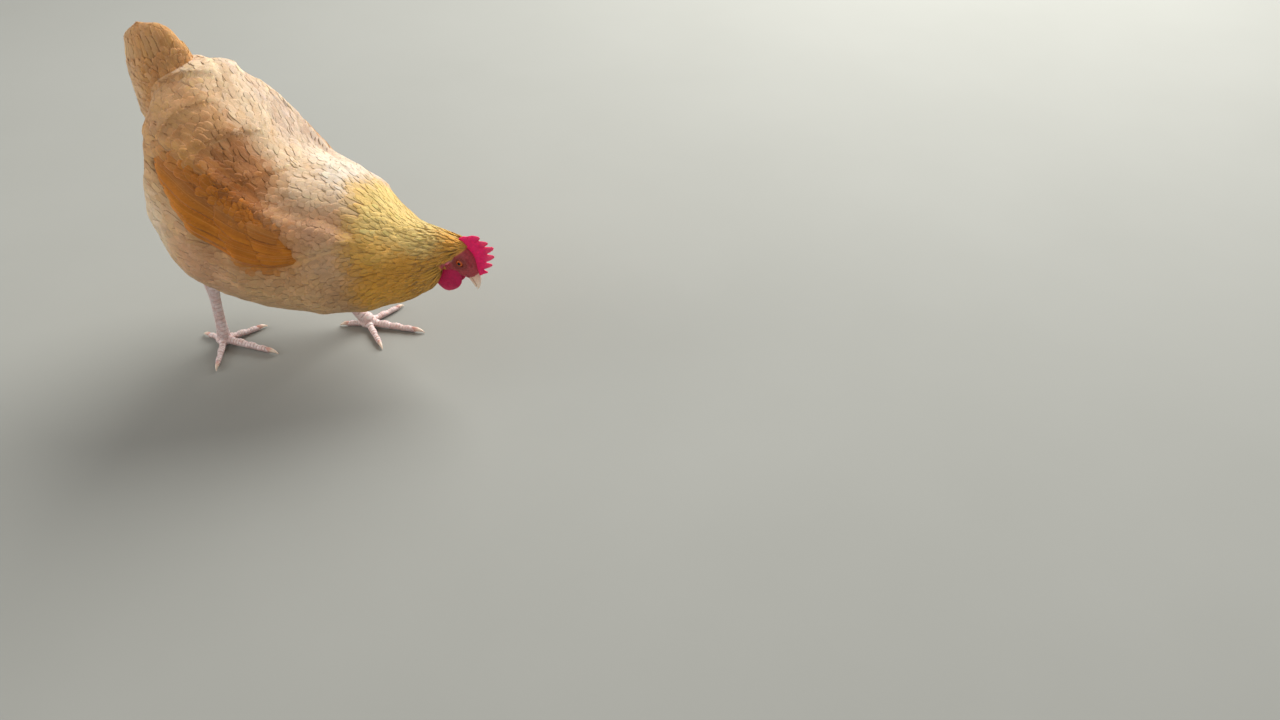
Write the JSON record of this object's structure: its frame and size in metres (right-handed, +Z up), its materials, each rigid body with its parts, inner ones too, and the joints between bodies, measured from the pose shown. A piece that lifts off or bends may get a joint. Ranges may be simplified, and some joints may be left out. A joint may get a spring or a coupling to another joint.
{
  "type": "hen",
  "caption": "Life-size still model of a buff hen in mid-stride, head low to the ground, tail raised, standing on her own two feet.",
  "frame": {"origin": "middle of the box round the whole hen, on the floor", "axes": "+X the way the hen heads, +Y her left, +Z up"},
  "size_m": [0.407, 0.238, 0.4094],
  "materials": {
    "body_feathers": "soft matt buff feathers",
    "neck_feathers": "silky golden feathers",
    "wing_feathers": "smooth orange buff feathers",
    "fluff": "pale downy fluff",
    "comb": "soft satin red skin",
    "face": "soft matt red skin",
    "horn": "satin pinkish horn",
    "leg_skin": "satin scaly pinkish white skin",
    "eye": "wet gloss amber with a dark pupil"
  },
  "bodies": {
    "root": {"head": "face", "comb": "comb", "bill_upper": "horn", "bill_lower": "horn", "eye_left": "eye", "wattle_left": "comb", "earlobe_left": "comb", "eye_right": "eye", "wattle_right": "comb", "earlobe_right": "comb", "torso": "body_feathers", "neck": "neck_feathers", "wing_left": "wing_feathers", "thigh_left": "fluff", "shank_left": "leg_skin", "palm_left": "leg_skin", "toe_left_middle": "leg_skin", "claw_left_middle": "horn", "toe_left_inner": "leg_skin", "claw_left_inner": "horn", "toe_left_outer": "leg_skin", "claw_left_outer": "horn", "toe_left_hind": "leg_skin", "claw_left_hind": "horn", "wing_right": "wing_feathers", "thigh_right": "fluff", "shank_right": "leg_skin", "palm_right": "leg_skin", "toe_right_middle": "leg_skin", "claw_right_middle": "horn", "toe_right_inner": "leg_skin", "claw_right_inner": "horn", "toe_right_outer": "leg_skin", "claw_right_outer": "horn", "toe_right_hind": "leg_skin", "claw_right_hind": "horn", "tail": "body_feathers"}
  },
  "joints": []
}
